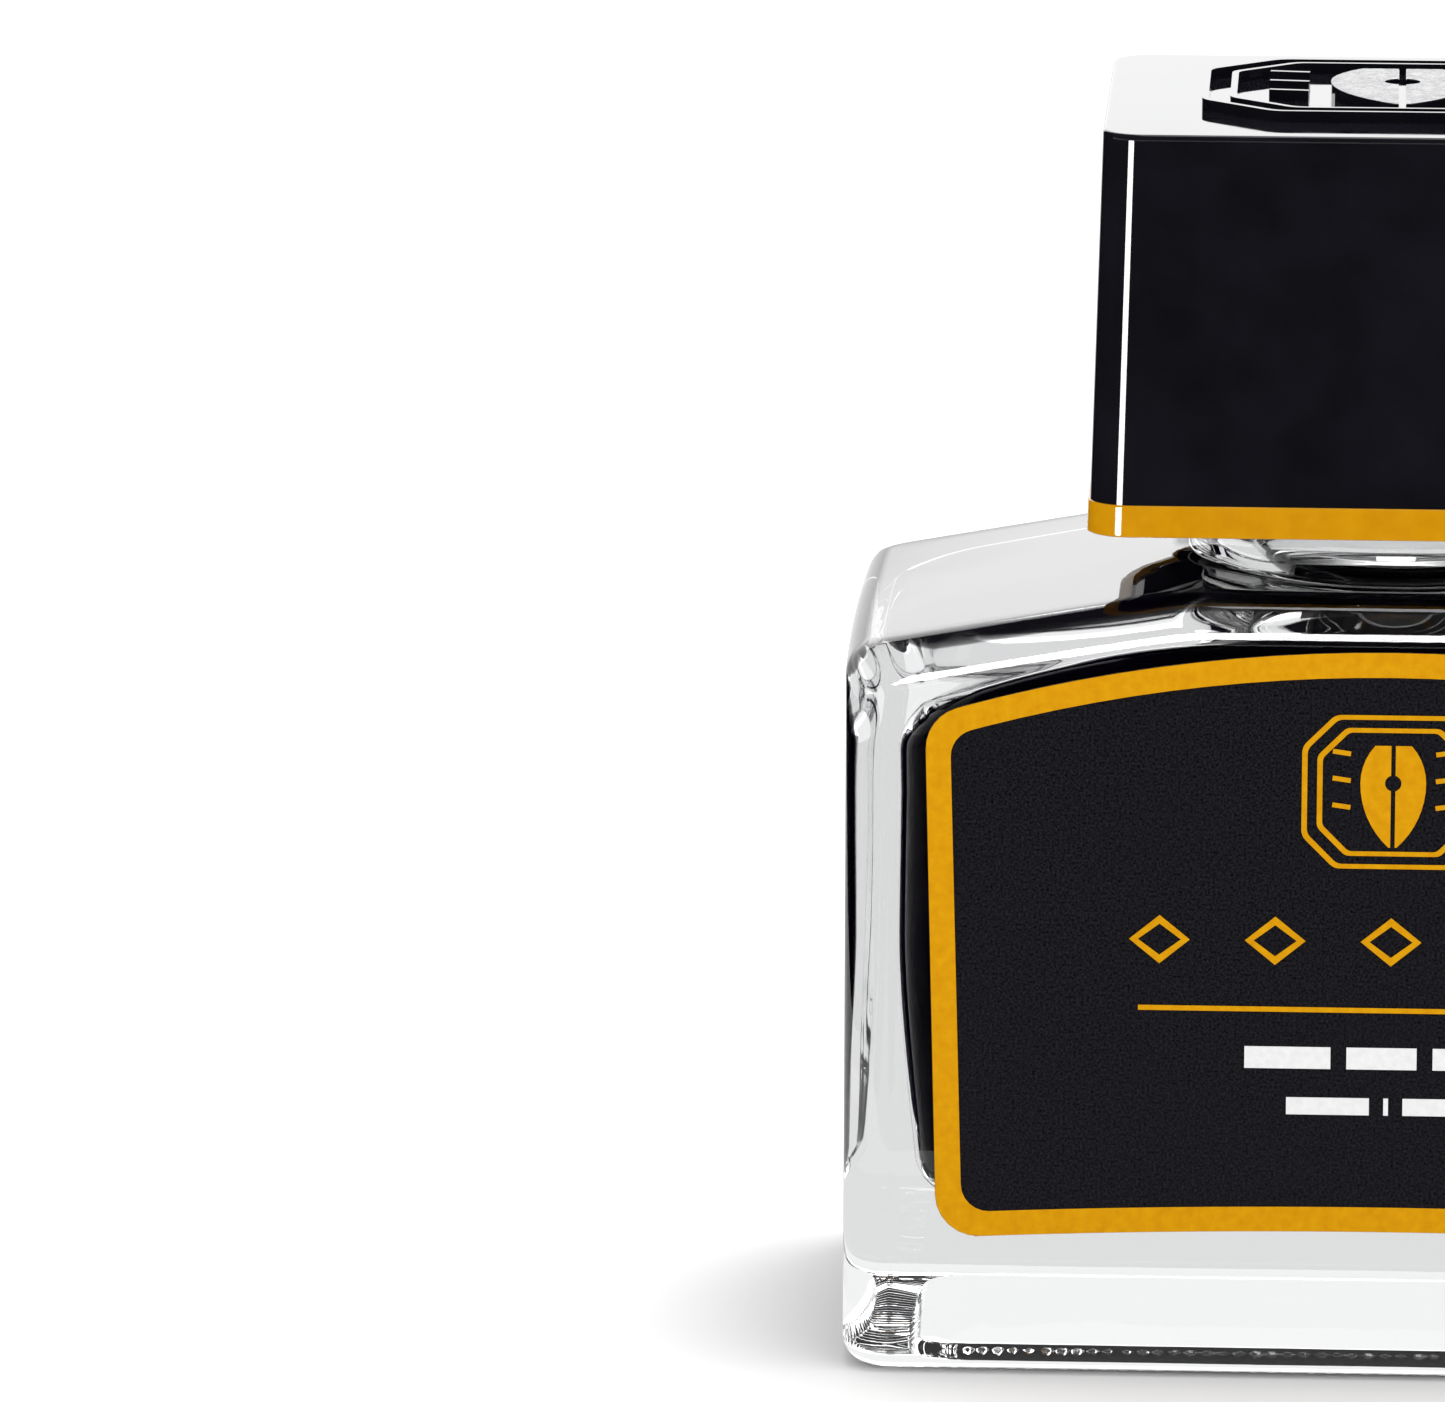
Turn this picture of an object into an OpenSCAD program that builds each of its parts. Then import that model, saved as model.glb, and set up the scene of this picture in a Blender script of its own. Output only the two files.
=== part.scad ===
// Ink bottle: a heavy square glass bottle, filled and labelled, with a tall screw cap.
// Millimetres. +Z is up, the label faces -Y, and the origin is the middle of the base.

/* [Bottle] */

// Width of the glass body
body_w = 70; // [60:0.5:80]
// Depth of the glass body, front to back
body_d = 37.5; // [36:0.5:42]
// Height of the shoulder's flat middle
shoulder_top = 50.1; // [48:0.1:51]
// Width of the shoulder's flat middle
shoulder_flat = 26; // [22:0.5:34]
// Angle at which the shoulder falls away on both sides
shoulder_slope = 10; // [4:0.5:16]
// Radius of the body's four upright corners
body_corner = 3; // [2:0.5:8]
// How far the two ends bow out between the corners
end_bow = 1.6; // [0.5:0.1:3]
// Radius that rolls the front and back over into the shoulder
shoulder_roll = 3.1; // [2:0.1:5]
// Radius that rolls the two ends over into the shoulder
end_roll = 1.8; // [1:0.1:7]
// Radius of the edge around the base
base_roll = 1.9; // [1:0.1:4]
// Depth of the hollow under the base
push_up = 1.2; // [0.5:0.1:3]
// Width of the ring around that hollow, which the bottle stands on
bearing_w = 3.1; // [2:0.1:6]

/* [Ink chamber] */

// Width of the chamber inside the glass
chamber_w = 62.2; // [50:0.2:64]
// Depth of the chamber, front to back
chamber_d = 29.5; // [24:0.1:32]
// Thickness of the solid glass base
base_t = 10.2; // [5:0.2:14]
// Height of the ceiling's flat middle
ceiling_top = 46.6; // [44:0.1:47.5]
// Width of the ceiling's flat middle
ceiling_flat = 20; // [20:0.5:26]
// Angle at which the ceiling falls away on both sides
ceiling_slope = 12; // [8:1:13]
// Radius of the chamber's upright corners
chamber_corner = 5; // [3:0.5:10]
// Radius around the chamber's floor
chamber_roll = 2.6; // [2:0.1:8]
// Radius along the chamber's ceiling, front and back
ceiling_roll = 2; // [1:0.1:4]
// Height of the ink's surface
ink_level = 46; // [30:0.1:46.5]

/* [Neck] */

// Outer radius of the neck between its threads
neck_r = 12.6; // [10:0.1:14]
// Radius of the bore through the neck
bore_r = 9.5; // [7:0.1:11]
// Height of the lip
lip_z = 62.8; // [58:0.1:68]
// How far the thread stands out of the neck
thread_h = 1.1; // [0.6:0.05:1.5]
// Rise of the thread in one turn
pitch = 4.2; // [3:0.1:5]
// Turns of thread on the neck
thread_turns = 1.3; // [1:0.1:1.6]

/* [Label] */

// Width of the label at its bottom
label_w_low = 56.8; // [40:0.2:60]
// Width of the label at its top corners
label_w_high = 58.6; // [40:0.2:61]
// Height of the label's bottom edge at the centre
label_low = 9.7; // [6:0.1:15]
// Height of the label's arched top at the centre
label_high = 46.9; // [35:0.1:46.9]
// Thickness of the label film
label_t = 0.12; // [0.08:0.01:0.3]
// Thickness of the printed and foiled layers
foil_t = 0.05; // [0.03:0.01:0.1]
// Width of the gold frame
frame_w = 1.6; // [0.8:0.1:3]
// Half width of the label's emblem
label_emblem_r = 5.7; // [4:0.1:7]

/* [Cap] */

// Height of the cap's lower edge
cap_low = 53.7; // [53:0.1:56]
// Height of the cap's flat top
cap_high = 79; // [72:0.1:90]
// Width of the cap at its top
cap_w = 37.2; // [35:0.1:44]
// Depth of the cap at its top
cap_d = 33.4; // [33:0.1:38]
// How much wider the cap is at its lower edge
cap_flare = 1.3; // [0:0.1:3]
// Radius of the cap's upright corners
cap_corner = 2.5; // [1:0.1:5]
// Wall thickness of the cap shell
cap_wall = 1.5; // [1:0.1:3]
// Height of the gold band
band_h = 2; // [1:0.1:4]
// How far the gold band stands proud of the shell
band_proud = 0.12; // [0:0.02:0.5]
// Half width of the cap's emblem
cap_emblem_r = 12.6; // [8:0.1:15]
// Height of the cap's raised emblem
relief = 0.7; // [0.3:0.05:1.5]

/* [Hidden] */

$fn = 96;
over = 1;                  // how far a cut runs past a face
sink = 0.3;                // how far a thread is rooted in its wall

glass = [0.86, 0.9, 0.92, 0.35];
ink_black = [0.03, 0.02, 0.05];
film_black = [0.06, 0.065, 0.085];
gold = [0.9, 0.66, 0.1];
print_white = [0.95, 0.95, 0.95];
cap_black = [0.04, 0.045, 0.06];
satin_grey = [0.75, 0.75, 0.75];
liner_white = [0.9, 0.9, 0.86];
closure_black = [0.1, 0.1, 0.11];

front = -body_d / 2;

// Neck thread: its middle height at the start, and the section's half heights.
thread_start = 55.3;
thread_root_half = 1.2;
thread_crest_half = 0.55;
steps_per_turn = 36;
fade_steps = 4;            // steps over which a thread rises out of its wall
end_share = 0.3;           // share of a thread's section that is left at its very ends

// Closure: clearances to the neck, its wall and its ceiling.
closure_gap = 0.3;
closure_bore_r = neck_r + thread_h + closure_gap;
closure_wall = 1.2;
closure_r = closure_bore_r + closure_wall;
closure_rise = 0.4;        // how far the closure's lower edge lies above the cap's
closure_low = cap_low + closure_rise;
closure_roof = 1.5;
liner_t = 1.2;
liner_gap = 0.06;
liner_low = lip_z + liner_gap;
closure_ceiling = liner_low + liner_t;
closure_high = closure_ceiling + closure_roof;
closure_thread_h = 0.95;
closure_thread_root_half = 0.95;
closure_thread_crest_half = 0.45;
closure_thread_turns = 1.3;
closure_thread_from = 120; // the angle at which the closure's thread begins
flank_gap = 0.25;
// The closure's thread lies below the neck's, so that screwing down pulls the cap onto the lip.
thread_shift = thread_root_half + closure_thread_crest_half + flank_gap;
grip_ribs = 24;
grip_r = 0.45;
grip_sunk = 0.2;           // how far a rib's axis lies inside the closure's wall
grip_h = closure_high - closure_low - 1;

cap_roof = 1.8;
cap_span = cap_high - cap_low;
rebate = 0.8;              // depth of the step that holds the band
skirt_rise = 0.3;          // how far the shell's lower edge lies above the band's
insert_gap = 0.08;
insert_t = 1.2;
insert_plate_low = closure_high;
insert_high = cap_high - cap_roof - insert_gap;

emblem_depth = 0.86;       // the emblem's depth over its width
cut_shrink = tan(22.5);    // how much a cut corner shrinks per unit of inset
emblem_line = 0.42;        // width of the cap emblem's lines
emblem_step = 1.35;        // gap between the cap emblem's two frames
nib_slit = 0.22;           // half width of the slit between the nib's halves
plate_edge = 0.02;         // how far the foil stays back from the slit's edge
plate_t = 0.06;

// ---- outlines -------------------------------------------------------------------------------

// Points of an arc around a centre, from one angle to another.
function arc(cx, cy, r, from, to, steps) =
    [for (i = [0 : steps]) [cx + r * cos(from + (to - from) * i / steps),
                            cy + r * sin(from + (to - from) * i / steps)]];

// A corner of a polygon, rounded: the arc that touches both of its edges.
function rounded_corner(before, at, after, r, steps) =
    let (a = (before - at) / norm(before - at),
         b = (after - at) / norm(after - at),
         half = acos(a * b) / 2,
         mid = (a + b) / norm(a + b),
         centre = at + mid * (r / sin(half)),
         pa = at + a * (r / tan(half)) - centre,
         pb = at + b * (r / tan(half)) - centre,
         start = atan2(pa[1], pa[0]),
         raw = atan2(pb[1], pb[0]) - start,
         sweep = raw > 180 ? raw - 360 : (raw < -180 ? raw + 360 : raw))
    arc(centre[0], centre[1], r, start, start + sweep, steps);

// A closed outline with every corner rounded to the radius given for it.
function rounded(points, radii, steps = 6) =
    let (n = len(points))
    [for (i = [0 : n - 1])
        each (radii[i] == 0 ? [points[i]]
            : rounded_corner(points[(i + n - 1) % n], points[i], points[(i + 1) % n],
                             radii[i], steps))];

// A rounded rectangle around the origin, drawn with exact arcs.
module rounded_rect(w, d, r) {
    square([w - 2 * r, d], center = true);
    square([w, d - 2 * r], center = true);
    for (x = [-1, 1], y = [-1, 1])
        translate([x * (w / 2 - r), y * (d / 2 - r)])
            circle(r);
}

// The same with its two ends bowed out: each end is an arc that meets the corners' arcs.
module bowed_rect(w, d, r, bow) {
    bow_r = (d * d / 4 + bow * bow) / (2 * bow);
    bow_x = w / 2 - bow_r;
    corner_y = d / 2 - r;
    corner_x = bow_x + sqrt(pow(bow_r - r, 2) - pow(corner_y, 2));
    meet_y = corner_y * bow_r / (bow_r - r);
    square([2 * corner_x, d], center = true);
    intersection() {
        square([w + 2 * over, 2 * meet_y], center = true);
        translate([bow_x, 0])
            circle(bow_r, $fn = 720);
        translate([-bow_x, 0])
            circle(bow_r, $fn = 720);
    }
    for (x = [-1, 1], y = [-1, 1])
        translate([x * corner_x, y * corner_y])
            circle(r);
}

// ---- glass ----------------------------------------------------------------------------------

// Seen from the end: a block whose upper and lower long edges are rolled over.
module end_outline(d, low, high, top_r, low_r) {
    middle = (low + high) / 2;
    for (side = [-1, 1]) {
        translate([side * (d / 2 - top_r), high - top_r])
            circle(top_r);
        translate([side * (d / 2 - low_r), low + low_r])
            circle(low_r);
    }
    translate([top_r - d / 2, middle])
        square([d - 2 * top_r, high - middle]);
    translate([low_r - d / 2, low])
        square([d - 2 * low_r, middle - low]);
    translate([-d / 2, low + low_r])
        square([d, high - top_r - low - low_r]);
}

// A bar along X with rolled edges, long enough to reach past the block it trims.
module rolled_bar(w, d, low, high, top_r, low_r) {
    rotate([90, 0, 90])
        linear_extrude(2 * w, center = true)
            end_outline(d, low, high, top_r, low_r);
}

// Seen from the front: straight sides, rounded lower corners, and upper corners rounded
// where a slope comes down to the side.
module front_outline(w, low, high, flat, slope, top_r, low_r) {
    corner_x = w / 2 - top_r;
    corner_z = high - (corner_x - flat / 2) * tan(slope) - top_r / cos(slope);
    meet_x = corner_x + top_r * sin(slope);
    for (side = [-1, 1]) {
        translate([side * corner_x, corner_z])
            circle(top_r);
        translate([side * (w / 2 - low_r), low + low_r])
            circle(low_r);
    }
    translate([-w / 2, low + low_r])
        square([w, corner_z - low - low_r]);
    translate([low_r - w / 2, low])
        square([w - 2 * low_r, corner_z - low]);
    translate([-meet_x, low + low_r])
        square([2 * meet_x, high + over - low - low_r]);
}

// A block that stands on the outline given as its child, with a flat top that falls away to
// both ends, and rolled edges.
module sloped_block(w, d, low, high, flat, slope, top_r, end_r, low_r) {
    intersection() {
        rolled_bar(w, d, low, high, top_r, low_r);
        under_slopes(flat / 2, high, slope, w, d, low, top_r);
        translate([0, 0, low - over])
            linear_extrude(high - low + 2 * over)
                children();
        rotate([90, 0, 0])
            linear_extrude(d + 2 * over, center = true)
                front_outline(w, low, high, flat, slope, end_r, low_r);
    }
}

// The part that lies under both slopes, the one to the left and the one to the right.
module under_slopes(x, z, slope, w, d, low, top_r) {
    intersection_for(side = [0, 1])
        mirror([side, 0, 0])
            translate([x, 0, z])
                rotate([0, slope, 0])
                    rolled_bar(w, d, low - 2 * z, 0, top_r, top_r);
}

module chamber(top) {
    intersection() {
        sloped_block(chamber_w, chamber_d, base_t, ceiling_top, ceiling_flat, ceiling_slope,
                     ceiling_roll, chamber_roll, chamber_roll)
            rounded_rect(chamber_w, chamber_d, chamber_corner);
        translate([-body_w / 2, -body_d / 2, 0])
            cube([body_w, body_d, top]);
    }
}

// The neck's outer shape, with a flare at its root and a rounded lip.
module neck_outside() {
    flare = 2;
    lip_roll = 0.9;
    sunk = 0.1;            // how far the flare dips into the shoulder
    tail = 2;              // how far the neck reaches down into the body
    fall = max(0, neck_r + flare - shoulder_flat / 2) * tan(shoulder_slope);
    root = shoulder_top - fall - sunk;
    rotate_extrude()
        union() {
            translate([0, root - tail])
                square([neck_r, lip_z - lip_roll - root + tail]);
            translate([0, lip_z - 2 * lip_roll])
                square([neck_r - lip_roll, 2 * lip_roll]);
            translate([neck_r - lip_roll, lip_z - lip_roll])
                circle(lip_roll, $fn = 32);
            difference() {
                translate([0, root - 1])
                    square([neck_r + flare, flare + 1]);
                translate([neck_r + flare, root + flare])
                    circle(flare, $fn = 48);
            }
        }
}

module neck_bore() {
    mouth_roll = 0.8;
    bottom = ceiling_top - 3;
    rotate_extrude()
        difference() {
            translate([0, bottom])
                square([bore_r + mouth_roll, lip_z - bottom + over]);
            translate([bore_r, bottom - over])
                square([2 * mouth_roll, lip_z - mouth_roll - bottom + over]);
            translate([bore_r + mouth_roll, lip_z - mouth_roll])
                circle(mouth_roll, $fn = 32);
        }
}

// A helical ridge: a trapezoid section swept up a cylinder of radius r. It grows outwards by
// h, or inwards when h is negative, and it runs out to nothing over its first and last part.
module thread_ridge(r, h, z, turns, root_half, crest_half) {
    rings = ceil(turns * steps_per_turn);
    root = r - sign(h) * sink;
    function grow(i) = min(1, (min(i, rings - i) + end_share) / fade_steps);
    function ring(i) =
        let (a = 360 * turns * i / rings,
             c = z + pitch * turns * i / rings,
             g = grow(i))
        [for (p = [[root, -root_half], [r + h * g, -crest_half], [r + h * g, crest_half],
                   [root, root_half]])
            [p[0] * cos(a), p[0] * sin(a), c + p[1] * (end_share + (1 - end_share) * g)]];
    points = [for (i = [0 : rings]) each ring(i)];
    sides = [for (i = [0 : rings - 1], k = [0 : 3])
                let (a = 4 * i + k, b = 4 * i + (k + 1) % 4)
                each [[a, b, b + 4], [a, b + 4, a + 4]]];
    ends = [[0, 3, 2, 1], [4 * rings, 4 * rings + 1, 4 * rings + 2, 4 * rings + 3]];
    faces = concat(sides, ends);
    polyhedron(points, h > 0 ? faces : [for (f = faces) [for (k = [len(f) - 1 : -1 : 0]) f[k]]]);
}

module glass_bottle() {
    hollow_corner = 3;
    color(glass)
        difference() {
            union() {
                sloped_block(body_w, body_d, 0, shoulder_top, shoulder_flat, shoulder_slope,
                             shoulder_roll, end_roll, base_roll)
                    bowed_rect(body_w, body_d, body_corner, end_bow);
                neck_outside();
                thread_ridge(neck_r, thread_h, thread_start, thread_turns,
                             thread_root_half, thread_crest_half);
            }
            chamber(ceiling_top + over);
            neck_bore();
            translate([0, 0, -over])
                linear_extrude(over + push_up)
                    rounded_rect(body_w - 2 * base_roll - 2 * bearing_w,
                                 body_d - 2 * base_roll - 2 * bearing_w, hollow_corner);
        }
}

module ink() {
    color(ink_black)
        chamber(ink_level);
}

// ---- label ----------------------------------------------------------------------------------

label_top_arch = 98;
label_low_arch = 500;
label_corner = 2.7;
label_corner_shrink = 0.6; // how much the corner's radius shrinks per unit of inset
film_edge = 0.02;          // the sliver of film left outside the gold frame
label_arc_steps = 24;

// Outline of the label, set in by a margin: arched top and bottom, leaning sides.
function label_outline(inset) =
    let (rt = label_top_arch - inset,
         rb = label_low_arch + inset,
         half_low = label_w_low / 2 - inset,
         half_high = label_w_high / 2 - inset,
         a_top = asin(half_high / rt),
         a_low = asin(half_low / rb),
         top = arc(0, label_high - label_top_arch, rt, 90 - a_top, 90 + a_top, label_arc_steps),
         low = arc(0, label_low - label_low_arch, rb, 90 + a_low, 90 - a_low, label_arc_steps),
         r = label_corner - label_corner_shrink * inset)
    rounded(concat(top, low),
            [for (i = [0 : 2 * label_arc_steps + 1])
                (i == 0 || i == label_arc_steps || i == label_arc_steps + 1
                 || i == 2 * label_arc_steps + 1) ? r : 0]);

// Stands a flat drawing on the front of the label, raised by a height, with a thickness.
module on_front(raise, t) {
    translate([0, front - raise, 0])
        rotate([90, 0, 0])
            linear_extrude(t)
                children();
}

module label_film() {
    color(film_black)
        on_front(0, label_t)
            polygon(label_outline(0));
}

module label_frame() {
    color(gold)
        on_front(label_t, foil_t)
            difference() {
                polygon(label_outline(film_edge));
                polygon(label_outline(frame_w));
            }
}

// ---- emblem: a pen nib in a double eight-sided frame -------------------------------------------

// An eight-sided outline of half width a, with softly rounded corners.
function octagon_outline(a, cut, r) =
    let (b = a * emblem_depth)
    rounded([[a, b - cut], [a - cut, b], [cut - a, b], [-a, b - cut],
             [-a, cut - b], [cut - a, -b], [a - cut, -b], [a, cut - b]],
            [for (i = [1 : 8]) r], 4);

module octagon_line(a, cut, r, line) {
    difference() {
        polygon(octagon_outline(a, cut, r));
        polygon(octagon_outline(a - line, cut - cut_shrink * line, r - 0.4 * line));
    }
}

module emblem_frames(a, line) {
    cut = 0.36 * a;
    step = emblem_step * a / cap_emblem_r;
    octagon_line(a, cut, 0.16 * a, line);
    octagon_line(a - step - line, cut - cut_shrink * step, 0.12 * a, line);
}

// Points that leave x0, y0 straight up or down and bow over to x1, y1, nearer the middle.
function bow(x0, y0, x1, y1, steps) =
    let (turn = 2 * atan((x0 - x1) / abs(y1 - y0)),
         r = abs(y1 - y0) / sin(turn))
    arc(x0 - r, y0, r, 0, sign(y1 - y0) * turn, steps);

// Half of the nib, to the right of its slit: it widens to its waist, then draws in to the tip.
function nib_half(a, slit) =
    let (w = 0.36 * a, waist = 0.1 * a, top = 0.52 * a, tip = -0.62 * a,
         upper = bow(w, waist, 0.2 * a, top, 5),
         lower = bow(w, waist, slit + 0.02 * a, tip, 8))
    concat([[slit, tip], [slit, top]],
           [for (i = [len(upper) - 1 : -1 : 1]) upper[i]],
           lower);

// Both halves of the nib, with the round vent at the head of the slit.
module nib_halves(a, slit) {
    for (side = [0, 1])
        mirror([side, 0])
            difference() {
                polygon(nib_half(a, slit));
                translate([0, 0.1 * a])
                    circle(0.09 * a, $fn = 32);
            }
}

// Short strokes on both sides of the nib.
module nib_rays(a, line) {
    for (side = [0, 1])
        mirror([side, 0])
            for (i = [0 : 2])
                translate([0.47 * a, 0.4 * a - i * 0.3 * a])
                    rotate(8)
                        square([0.2 * a, line]);
}

module label_emblem() {
    centre_z = 38;
    line = 0.34;
    ray = 0.3;
    slit = 0.14;
    color(gold)
        on_front(label_t, foil_t)
            translate([0, centre_z]) {
                emblem_frames(label_emblem_r, line);
                nib_halves(label_emblem_r, slit);
                nib_rays(label_emblem_r, ray);
            }
}

module label_lozenges() {
    spacing = 7.25;
    centre_z = 28.4;
    half_w = 1.9;
    half_h = 1.55;
    line = 0.55;
    color(gold)
        on_front(label_t, foil_t)
            for (i = [-2 : 2])
                translate([i * spacing, centre_z])
                    difference() {
                        polygon([[half_w, 0], [0, half_h], [-half_w, 0], [0, -half_h]]);
                        polygon([[half_w - line, 0], [0, half_h - line],
                                 [line - half_w, 0], [0, line - half_h]]);
                    }
}

module label_rule() {
    rule_z = 24;
    rule_w = 31.6;
    rule_h = 0.32;
    color(gold)
        on_front(label_t, foil_t)
            translate([0, rule_z])
                square([rule_w, rule_h], center = true);
}

// A line of plain bars, each as long as its width says, centred as one row.
module bar_row(widths, gap, h, z) {
    function left(i) = i == 0 ? 0 : left(i - 1) + widths[i - 1] + gap;
    total = left(len(widths) - 1) + widths[len(widths) - 1];
    for (i = [0 : len(widths) - 1])
        translate([left(i) - total / 2, z - h / 2])
            square([widths[i], h]);
}

module label_caption_bars() {
    bars = [5.4, 4.4, 6.4];
    gap = 1;
    bar_h = 1.4;
    row_z = 20.9;
    color(print_white)
        on_front(label_t, foil_t)
            bar_row(bars, gap, bar_h, row_z);
}

module label_volume_bars() {
    bars = [5.2, 0.3, 5.6];
    gap = 0.9;
    bar_h = 1.1;
    row_z = 17.8;
    color(print_white)
        on_front(label_t, foil_t)
            bar_row(bars, gap, bar_h, row_z);
}

// ---- cap ------------------------------------------------------------------------------------

module sealing_liner() {
    color(liner_white)
        translate([0, 0, liner_low])
            cylinder(r = closure_bore_r - closure_gap, h = liner_t);
}

module threaded_closure() {
    color(closure_black)
        difference() {
            union() {
                translate([0, 0, closure_low])
                    cylinder(r = closure_r, h = closure_high - closure_low);
                for (i = [0 : grip_ribs - 1])
                    rotate(360 * (i + 0.5) / grip_ribs)
                        translate([closure_r - grip_sunk, 0, closure_low])
                            cylinder(r = grip_r, h = grip_h, $fn = 24);
            }
            difference() {
                translate([0, 0, closure_low - over])
                    cylinder(r = closure_bore_r, h = closure_ceiling - closure_low + over);
                rotate(closure_thread_from)
                    thread_ridge(closure_bore_r, -closure_thread_h,
                                 thread_start - thread_shift + pitch * closure_thread_from / 360,
                                 closure_thread_turns,
                                 closure_thread_root_half, closure_thread_crest_half);
            }
        }
}

// The cap's outline at a height, set in from its outside.
function cap_flare_at(z) = 1 + cap_flare * (cap_high - z) / cap_span / cap_w;
function cap_outline(inset, z) =
    let (x = cap_w / 2 - inset,
         y = cap_d / 2 - inset,
         r = max(cap_corner - inset, 0.6))
    rounded([[x, y], [-x, y], [-x, -y], [x, -y]], [r, r, r, r], 10) * cap_flare_at(z);

// A solid that runs up through outlines with the same number of points, one at each height.
module loft(outlines, heights) {
    n = len(outlines[0]);
    last = (len(heights) - 1) * n;
    points = [for (i = [0 : len(heights) - 1])
                for (p = outlines[i])
                    [p[0], p[1], heights[i]]];
    sides = [for (i = [0 : len(heights) - 2], k = [0 : n - 1])
                let (a = i * n + k, b = i * n + (k + 1) % n)
                each [[a, a + n, b + n], [a, b + n, b]]];
    ends = [[for (k = [0 : n - 1]) k], [for (k = [n - 1 : -1 : 0]) last + k]];
    polyhedron(points, concat(sides, ends));
}

// The cap's tapered block between two heights.
module cap_block(inset, low, high) {
    loft([cap_outline(inset, low), cap_outline(inset, high)], [low, high]);
}

module cap_shell() {
    bevel = 0.2;
    band_top = cap_low + band_h;
    rim = cap_outline(0, cap_high - bevel);
    color(cap_black)
        difference() {
            union() {
                loft([cap_outline(0, band_top), rim, rim * (1 - 2 * bevel / cap_w)],
                     [band_top, cap_high - bevel, cap_high]);
                cap_block(rebate, cap_low + skirt_rise, band_top + over);
            }
            cap_block(cap_wall, cap_low - over, cap_high - cap_roof);
        }
}

module cap_band() {
    color(gold)
        difference() {
            cap_block(-band_proud, cap_low, cap_low + band_h);
            cap_block(rebate, cap_low - over, cap_low + band_h + over);
        }
}

module cap_insert() {
    web = 1.2;
    fin_spacing = 8;
    span_x = cap_w + 2 * over;
    span_y = cap_d + 2 * over;
    color(closure_black)
        intersection() {
            cap_block(cap_wall + insert_gap, closure_low, insert_high);
            difference() {
                union() {
                    translate([0, 0, insert_plate_low + insert_t / 2])
                        cube([span_x, span_y, insert_t], center = true);
                    translate([-span_x / 2, -web / 2, insert_plate_low])
                        cube([span_x, web, cap_span]);
                    translate([-web / 2, -span_y / 2, insert_plate_low])
                        cube([web, span_y, cap_span]);
                    for (i = [-1 : 1])
                        translate([-span_x / 2, i * fin_spacing - web / 2, closure_low])
                            cube([span_x, web, insert_plate_low - closure_low]);
                }
                translate([0, 0, closure_low - over])
                    cylinder(r = closure_r + grip_r, h = insert_plate_low - closure_low + over);
            }
        }
}

module cap_emblem_lines() {
    color(cap_black)
        translate([0, 0, cap_high])
            linear_extrude(relief) {
                emblem_frames(cap_emblem_r, emblem_line);
                nib_halves(cap_emblem_r, nib_slit);
                nib_rays(cap_emblem_r, emblem_line);
            }
}

module cap_emblem_plates() {
    color(satin_grey)
        translate([0, 0, cap_high + relief])
            linear_extrude(plate_t)
                nib_halves(cap_emblem_r, nib_slit + plate_edge);
}

glass_bottle();
ink();
label_film();
label_frame();
label_emblem();
label_lozenges();
label_rule();
label_caption_bars();
label_volume_bars();
sealing_liner();
threaded_closure();
cap_insert();
cap_shell();
cap_band();
cap_emblem_lines();
cap_emblem_plates();
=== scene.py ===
"""Looks of the ink bottle: clear moulded glass, black ink, a printed label and a gloss black cap.

Lengths are in metres, and written as a number of millimetres times MM. The frame gives the places.
"""

import math

import bpy
import numpy as np
from mathutils import Matrix, Vector, noise


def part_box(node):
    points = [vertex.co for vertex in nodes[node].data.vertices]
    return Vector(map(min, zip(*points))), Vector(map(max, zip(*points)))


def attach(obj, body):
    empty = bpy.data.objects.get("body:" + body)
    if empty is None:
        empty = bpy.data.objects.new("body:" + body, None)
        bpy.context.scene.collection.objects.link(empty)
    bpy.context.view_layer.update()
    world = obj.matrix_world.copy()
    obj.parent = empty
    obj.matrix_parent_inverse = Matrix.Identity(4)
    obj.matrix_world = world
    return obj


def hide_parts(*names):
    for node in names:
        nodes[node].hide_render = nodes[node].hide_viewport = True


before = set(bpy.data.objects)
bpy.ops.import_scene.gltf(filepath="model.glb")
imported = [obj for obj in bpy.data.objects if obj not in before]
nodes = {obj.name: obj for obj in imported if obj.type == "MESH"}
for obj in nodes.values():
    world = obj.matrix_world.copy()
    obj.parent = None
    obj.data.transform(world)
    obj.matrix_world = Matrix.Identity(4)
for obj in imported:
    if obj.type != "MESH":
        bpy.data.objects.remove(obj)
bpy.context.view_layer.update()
scene = bpy.context.scene

MM = 0.001

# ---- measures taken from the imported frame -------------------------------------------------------

glass_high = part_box("glass_bottle")[1]
ink_low, ink_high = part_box("ink")
cap_low, cap_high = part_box("cap_shell")
band_low, band_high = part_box("cap_band")

END_SHORT = 0.4 * MM         # the ends stop this far inside the widest point of the bottle
BODY_X = glass_high.x - END_SHORT
BODY_Y = glass_high.y
LIP_Z = glass_high.z
CHAMBER_X = ink_high.x
CHAMBER_Y = ink_high.y
FLOOR_Z = ink_low.z
CAP_TOP = cap_high.z

# ---- shape of the glass ---------------------------------------------------------------------------

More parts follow.
